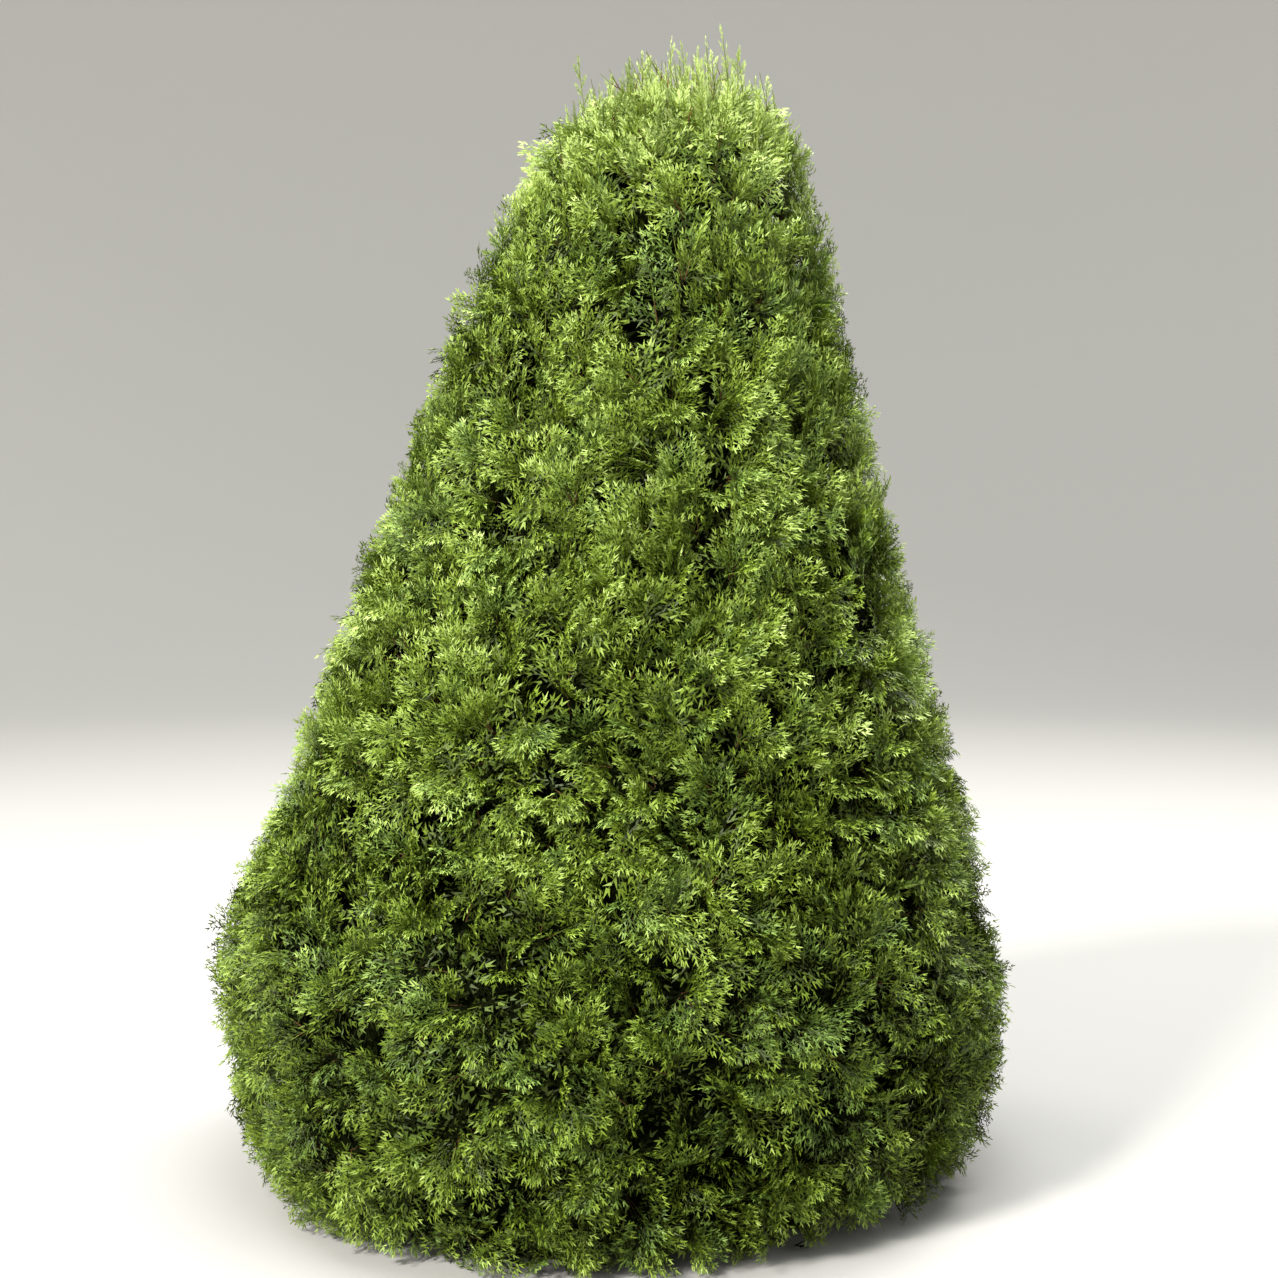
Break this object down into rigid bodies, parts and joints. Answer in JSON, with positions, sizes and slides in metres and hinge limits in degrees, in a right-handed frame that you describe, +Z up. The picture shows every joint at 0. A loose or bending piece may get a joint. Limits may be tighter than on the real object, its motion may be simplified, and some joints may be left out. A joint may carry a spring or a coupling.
{
  "type": "garden evergreen tree, arborvitae",
  "caption": "Broad, dense cone of flat scale-leaf sprays from the ground up, round a leaning trunk with flared foot and slim boughs.",
  "frame": {"origin": "on the ground, at the middle of the flat cut under the trunk", "axes": "+Z up; the picture looks along +Y with +X to its right, and the trunk leans to +X"},
  "size_m": [1.8102, 1.818, 2.5488],
  "materials": {
    "bark": "fibrous, reddish grey-brown bark in long strips",
    "branch_wood": "thin orange-brown bark, matt",
    "foliage": "scale leaves, waxy, yellow-green at the tips and deep green inside"
  },
  "bodies": {
    "root": {"trunk": "bark", "bough_1_1": "branch_wood", "bough_1_2": "branch_wood", "bough_1_3": "branch_wood", "bough_1_4": "branch_wood", "bough_1_5": "branch_wood", "bough_1_6": "branch_wood", "bough_1_7": "branch_wood", "bough_2_1": "branch_wood", "bough_2_2": "branch_wood", "bough_2_3": "branch_wood", "bough_2_4": "branch_wood", "bough_2_5": "branch_wood", "bough_2_6": "branch_wood", "bough_2_7": "branch_wood", "bough_3_1": "branch_wood", "bough_3_2": "branch_wood", "bough_3_3": "branch_wood", "bough_3_4": "branch_wood", "bough_3_5": "branch_wood", "bough_3_6": "branch_wood", "foliage_1_1": "foliage", "foliage_1_2": "foliage", "foliage_1_3": "foliage", "foliage_1_4": "foliage", "foliage_1_5": "foliage", "foliage_1_6": "foliage", "foliage_1_7": "foliage", "foliage_2_1": "foliage", "foliage_2_2": "foliage", "foliage_2_3": "foliage", "foliage_2_4": "foliage", "foliage_2_5": "foliage", "foliage_2_6": "foliage", "foliage_2_7": "foliage", "foliage_3_1": "foliage", "foliage_3_2": "foliage", "foliage_3_3": "foliage", "foliage_3_4": "foliage", "foliage_3_5": "foliage", "foliage_3_6": "foliage", "foliage_4_1": "foliage", "foliage_4_2": "foliage", "foliage_4_3": "foliage", "foliage_4_4": "foliage", "foliage_4_5": "foliage", "foliage_5_1": "foliage", "foliage_5_2": "foliage", "foliage_5_3": "foliage", "foliage_5_4": "foliage", "foliage_6_1": "foliage", "foliage_6_2": "foliage", "foliage_6_3": "foliage", "foliage_7_1": "foliage", "foliage_7_2": "foliage", "foliage_7_3": "foliage", "foliage_leader": "foliage"}
  },
  "joints": []
}
